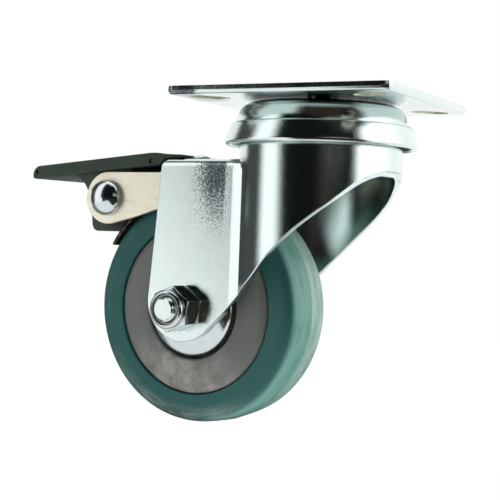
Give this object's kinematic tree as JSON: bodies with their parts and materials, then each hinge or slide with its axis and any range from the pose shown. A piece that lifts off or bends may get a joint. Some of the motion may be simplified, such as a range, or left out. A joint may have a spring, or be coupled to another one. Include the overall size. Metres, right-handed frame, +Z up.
{
  "type": "swivel castor",
  "caption": "Swivel castor with a square top plate, a rocker-pedal foot brake on its zinc-plated fork, and a grey-cored wheel with a green rubber tyre.",
  "frame": {"origin": "middle of the top plate's mounting face, on the swivel axis", "axes": "+Z up through the mounting face, +Y along the axle away from its lock nut, -X towards the trailing wheel and the brake pedal"},
  "size_m": [0.1412, 0.0758, 0.1055],
  "materials": {
    "bright_zinc": "bright zinc plate, slightly grainy",
    "bright_chrome": "polished",
    "bearing_steel": "ground, oiled",
    "spring_steel": "blackened spring steel",
    "passivated_steel": "cream passivated zinc, satin",
    "green_rubber": "elastic rubber, dusty bloom",
    "grey_nylon": "moulded, satin",
    "olive_moulding": "moulded, half gloss",
    "white_nylon": "moulded"
  },
  "bodies": {
    "head": {"top_plate": "bright_zinc", "king_pin": "bearing_steel", "upper_race": "bright_zinc", "dust_ring": "bright_zinc", "lower_race": "bright_zinc"},
    "upper_ball_row": {"upper_balls": "bearing_steel"},
    "lower_ball_row": {"lower_balls": "bearing_steel"},
    "swivel_fork": {"fork": "bright_zinc", "brake_bracket": "passivated_steel", "bracket_rivet_near": "bright_zinc", "bracket_rivet_far": "bright_zinc", "shoe_rivet_near": "bright_zinc", "shoe_rivet_far": "bright_zinc", "pivot_pin": "bright_chrome", "axle_sleeve": "bearing_steel", "axle_bolt": "bright_zinc", "lock_nut": "bright_zinc", "nut_insert": "white_nylon", "bearing_inner_near": "bearing_steel", "bearing_inner_far": "bearing_steel"},
    "wheel": {"tyre": "green_rubber", "hub": "grey_nylon", "bearing_outer_near": "bearing_steel", "bearing_outer_far": "bearing_steel", "dust_cap_near": "bright_chrome", "dust_cap_far": "bright_chrome"},
    "near_ball_row": {"bearing_balls_near": "bearing_steel"},
    "far_ball_row": {"bearing_balls_far": "bearing_steel"},
    "brake_pedal": {"pedal": "olive_moulding"},
    "brake_leaf": {"brake_shoe": "spring_steel"}
  },
  "joints": [
    {"name": "swivel", "type": "hinge", "parent": "head", "child": "swivel_fork", "pos_m": [0, 0, 0], "axis": [0, 0, 1], "continuous": true},
    {"name": "upper_balls_roll", "type": "hinge", "parent": "head", "child": "upper_ball_row", "pos_m": [0, 0, -0.0073], "axis": [0, 0, 1], "continuous": true},
    {"name": "lower_balls_roll", "type": "hinge", "parent": "head", "child": "lower_ball_row", "pos_m": [0, 0, -0.0151], "axis": [0, 0, 1], "continuous": true},
    {"name": "wheel_spin", "type": "hinge", "parent": "swivel_fork", "child": "wheel", "pos_m": [-0.0386, 0, -0.068], "axis": [0, 1, 0], "continuous": true},
    {"name": "near_balls_roll", "type": "hinge", "parent": "swivel_fork", "child": "near_ball_row", "pos_m": [-0.0386, -0.0068, -0.068], "axis": [0, 1, 0], "continuous": true},
    {"name": "far_balls_roll", "type": "hinge", "parent": "swivel_fork", "child": "far_ball_row", "pos_m": [-0.0386, 0.0068, -0.068], "axis": [0, 1, 0], "continuous": true},
    {"name": "pedal_press", "type": "hinge", "parent": "swivel_fork", "child": "brake_pedal", "pos_m": [-0.0711, 0, -0.0333], "axis": [0, -1, 0], "range_deg": [0, 14]},
    {"name": "shoe_flex", "type": "hinge", "parent": "swivel_fork", "child": "brake_leaf", "pos_m": [-0.0535, 0, -0.0274], "axis": [0, -1, 0], "range_deg": [0, 1.8]}
  ],
  "couplings": [
    {"joint": "upper_balls_roll", "follows": "swivel", "ratio": 0.5},
    {"joint": "lower_balls_roll", "follows": "swivel", "ratio": 0.5},
    {"joint": "near_balls_roll", "follows": "wheel_spin", "ratio": 0.6},
    {"joint": "far_balls_roll", "follows": "wheel_spin", "ratio": 0.6},
    {"joint": "shoe_flex", "follows": "pedal_press", "ratio": 0.12857}
  ]
}
